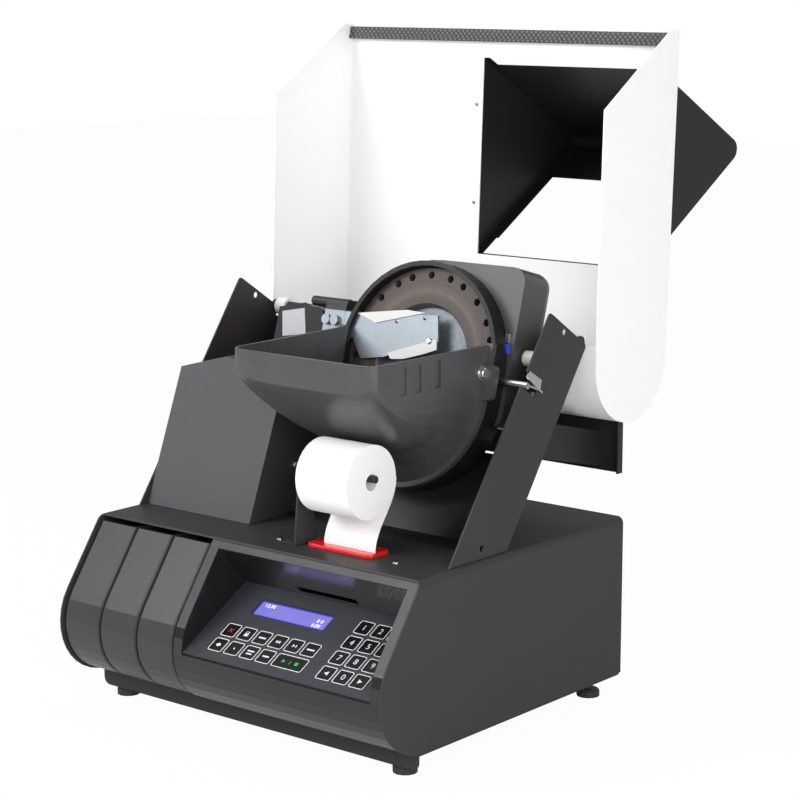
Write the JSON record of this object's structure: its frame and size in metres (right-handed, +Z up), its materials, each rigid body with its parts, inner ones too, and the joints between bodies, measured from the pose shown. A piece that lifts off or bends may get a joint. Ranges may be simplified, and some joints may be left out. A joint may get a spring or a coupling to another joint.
{
  "type": "coin counter",
  "caption": "Counter-top coin counter with its cover open: coin boxes, keypad housing, printer roll, feed bowl and pickup disc under a hinged white cover with a hopper.",
  "frame": {"origin": "on the counter under the middle of the object's bounding box", "axes": "+Z up, +X to the operator's right, -Y to the operator, +Y to the rear"},
  "size_m": [0.3794, 0.5616, 0.5936],
  "materials": {
    "powder_coated_steel": "satin fine-textured powder coat",
    "black_plastic": "fine spark-eroded texture",
    "charcoal_texture": "coarse textured powder coat",
    "grey_plastic": "satin moulded plastic",
    "keypad_film": "satin film",
    "key_face": "satin film",
    "display_glass": "lit blue display window",
    "red_plastic": "glossy moulded plastic",
    "paper": "plain white paper",
    "plated_steel": "zinc-plated, fine brushing",
    "worn_disc": "brown-black coating worn by coins",
    "white_steel": "white satin powder coat",
    "trim_rubber": "textured edge strip"
  },
  "bodies": {
    "base": {"base_hood": "powder_coated_steel", "base_tray": "powder_coated_steel", "coin_bay_frame": "powder_coated_steel", "control_housing": "black_plastic", "keypad_panel": "keypad_film", "display_module": "display_glass", "printer_mechanism": "black_plastic", "paper_slot_bezel": "red_plastic", "paper_web": "paper", "roll_holder": "powder_coated_steel", "power_supply": "black_plastic", "power_inlet": "black_plastic", "side_plate_left": "powder_coated_steel", "side_plate_right": "powder_coated_steel", "cross_panel": "powder_coated_steel", "chute_cover": "charcoal_texture", "hinge_tube": "powder_coated_steel", "rear_stop_panel": "powder_coated_steel", "disc_casing": "grey_plastic", "disc_housing": "grey_plastic", "drive_motor": "plated_steel", "unit_bracket": "powder_coated_steel", "feed_bowl": "grey_plastic", "transfer_knife": "plated_steel", "sort_rail": "plated_steel", "sensor_box": "grey_plastic", "cover_latch": "plated_steel"},
    "cover": {"cover_shell": "white_steel", "cover_hopper": "powder_coated_steel", "cover_trim": "trim_rubber"},
    "coin_box_1": {"coin_box_1": "black_plastic"},
    "coin_box_2": {"coin_box_2": "black_plastic"},
    "coin_box_3": {"coin_box_3": "black_plastic"},
    "pickup_disc": {"pickup_disc": "worn_disc"},
    "paper_roll": {"paper_roll": "paper"},
    "power_switch": {"power_switch": "black_plastic"},
    "key_cancel": {"key_cancel": "key_face"},
    "key_lock": {"key_lock": "key_face"},
    "key_print": {"key_print": "key_face"},
    "key_batch": {"key_batch": "key_face"},
    "key_step": {"key_step": "key_face"},
    "key_enter": {"key_enter": "key_face"},
    "key_mode": {"key_mode": "key_face"},
    "key_dot": {"key_dot": "key_face"},
    "key_paper": {"key_paper": "key_face"},
    "key_report": {"key_report": "key_face"},
    "key_start": {"key_start": "key_face"},
    "key_1": {"key_1": "key_face"},
    "key_2": {"key_2": "key_face"},
    "key_3": {"key_3": "key_face"},
    "key_4": {"key_4": "key_face"},
    "key_5": {"key_5": "key_face"},
    "key_6": {"key_6": "key_face"},
    "key_7": {"key_7": "key_face"},
    "key_8": {"key_8": "key_face"},
    "key_9": {"key_9": "key_face"},
    "key_0": {"key_0": "key_face"},
    "key_left": {"key_left": "key_face"},
    "key_right": {"key_right": "key_face"}
  },
  "joints": [
    {"name": "cover_hinge", "type": "hinge", "parent": "base", "child": "cover", "pos_m": [0, -0.00293, 0.3297], "axis": [1, 0, 0], "range_deg": [0, 148.6]},
    {"name": "coin_box_1_slide", "type": "slide", "parent": "base", "child": "coin_box_1", "axis": [0, -1, 0], "range_m": [0, 0.15]},
    {"name": "coin_box_2_slide", "type": "slide", "parent": "base", "child": "coin_box_2", "axis": [0, -1, 0], "range_m": [0, 0.15]},
    {"name": "coin_box_3_slide", "type": "slide", "parent": "base", "child": "coin_box_3", "axis": [0, -1, 0], "range_m": [0, 0.15]},
    {"name": "disc_spin", "type": "hinge", "parent": "base", "child": "pickup_disc", "pos_m": [0.0584, -0.07393, 0.3112], "axis": [0, -0.9636, 0.2672], "continuous": true},
    {"name": "roll_spin", "type": "hinge", "parent": "base", "child": "paper_roll", "pos_m": [0.077, -0.19553, 0.2293], "axis": [1, 0, 0], "continuous": true},
    {"name": "power_switch_rock", "type": "hinge", "parent": "base", "child": "power_switch", "pos_m": [-0.12, 0.05457, 0.07375], "axis": [-1, 0, 0], "range_deg": [0, 12]},
    {"name": "key_cancel_press", "type": "slide", "parent": "base", "child": "key_cancel", "axis": [0, 0.497, -0.8678], "range_m": [0, 0.0005], "stiffness_N_per_m": 1200, "springref_m": -0.0003},
    {"name": "key_lock_press", "type": "slide", "parent": "base", "child": "key_lock", "axis": [0, 0.497, -0.8678], "range_m": [0, 0.0005], "stiffness_N_per_m": 1200, "springref_m": -0.0003},
    {"name": "key_print_press", "type": "slide", "parent": "base", "child": "key_print", "axis": [0, 0.497, -0.8678], "range_m": [0, 0.0005], "stiffness_N_per_m": 1200, "springref_m": -0.0003},
    {"name": "key_batch_press", "type": "slide", "parent": "base", "child": "key_batch", "axis": [0, 0.497, -0.8678], "range_m": [0, 0.0005], "stiffness_N_per_m": 1200, "springref_m": -0.0003},
    {"name": "key_step_press", "type": "slide", "parent": "base", "child": "key_step", "axis": [0, 0.497, -0.8678], "range_m": [0, 0.0005], "stiffness_N_per_m": 1200, "springref_m": -0.0003},
    {"name": "key_enter_press", "type": "slide", "parent": "base", "child": "key_enter", "axis": [0, 0.497, -0.8678], "range_m": [0, 0.0005], "stiffness_N_per_m": 1200, "springref_m": -0.0003},
    {"name": "key_mode_press", "type": "slide", "parent": "base", "child": "key_mode", "axis": [0, 0.497, -0.8678], "range_m": [0, 0.0005], "stiffness_N_per_m": 1200, "springref_m": -0.0003},
    {"name": "key_dot_press", "type": "slide", "parent": "base", "child": "key_dot", "axis": [0, 0.497, -0.8678], "range_m": [0, 0.0005], "stiffness_N_per_m": 1200, "springref_m": -0.0003},
    {"name": "key_paper_press", "type": "slide", "parent": "base", "child": "key_paper", "axis": [0, 0.497, -0.8678], "range_m": [0, 0.0005], "stiffness_N_per_m": 1200, "springref_m": -0.0003},
    {"name": "key_report_press", "type": "slide", "parent": "base", "child": "key_report", "axis": [0, 0.497, -0.8678], "range_m": [0, 0.0005], "stiffness_N_per_m": 1200, "springref_m": -0.0003},
    {"name": "key_start_press", "type": "slide", "parent": "base", "child": "key_start", "axis": [0, 0.497, -0.8678], "range_m": [0, 0.0005], "stiffness_N_per_m": 1200, "springref_m": -0.0003},
    {"name": "key_1_press", "type": "slide", "parent": "base", "child": "key_1", "axis": [0, 0.497, -0.8678], "range_m": [0, 0.0005], "stiffness_N_per_m": 1200, "springref_m": -0.0003},
    {"name": "key_2_press", "type": "slide", "parent": "base", "child": "key_2", "axis": [0, 0.497, -0.8678], "range_m": [0, 0.0005], "stiffness_N_per_m": 1200, "springref_m": -0.0003},
    {"name": "key_3_press", "type": "slide", "parent": "base", "child": "key_3", "axis": [0, 0.497, -0.8678], "range_m": [0, 0.0005], "stiffness_N_per_m": 1200, "springref_m": -0.0003},
    {"name": "key_4_press", "type": "slide", "parent": "base", "child": "key_4", "axis": [0, 0.497, -0.8678], "range_m": [0, 0.0005], "stiffness_N_per_m": 1200, "springref_m": -0.0003},
    {"name": "key_5_press", "type": "slide", "parent": "base", "child": "key_5", "axis": [0, 0.497, -0.8678], "range_m": [0, 0.0005], "stiffness_N_per_m": 1200, "springref_m": -0.0003},
    {"name": "key_6_press", "type": "slide", "parent": "base", "child": "key_6", "axis": [0, 0.497, -0.8678], "range_m": [0, 0.0005], "stiffness_N_per_m": 1200, "springref_m": -0.0003},
    {"name": "key_7_press", "type": "slide", "parent": "base", "child": "key_7", "axis": [0, 0.497, -0.8678], "range_m": [0, 0.0005], "stiffness_N_per_m": 1200, "springref_m": -0.0003},
    {"name": "key_8_press", "type": "slide", "parent": "base", "child": "key_8", "axis": [0, 0.497, -0.8678], "range_m": [0, 0.0005], "stiffness_N_per_m": 1200, "springref_m": -0.0003},
    {"name": "key_9_press", "type": "slide", "parent": "base", "child": "key_9", "axis": [0, 0.497, -0.8678], "range_m": [0, 0.0005], "stiffness_N_per_m": 1200, "springref_m": -0.0003},
    {"name": "key_0_press", "type": "slide", "parent": "base", "child": "key_0", "axis": [0, 0.497, -0.8678], "range_m": [0, 0.0005], "stiffness_N_per_m": 1200, "springref_m": -0.0003},
    {"name": "key_left_press", "type": "slide", "parent": "base", "child": "key_left", "axis": [0, 0.497, -0.8678], "range_m": [0, 0.0005], "stiffness_N_per_m": 1200, "springref_m": -0.0003},
    {"name": "key_right_press", "type": "slide", "parent": "base", "child": "key_right", "axis": [0, 0.497, -0.8678], "range_m": [0, 0.0005], "stiffness_N_per_m": 1200, "springref_m": -0.0003}
  ]
}
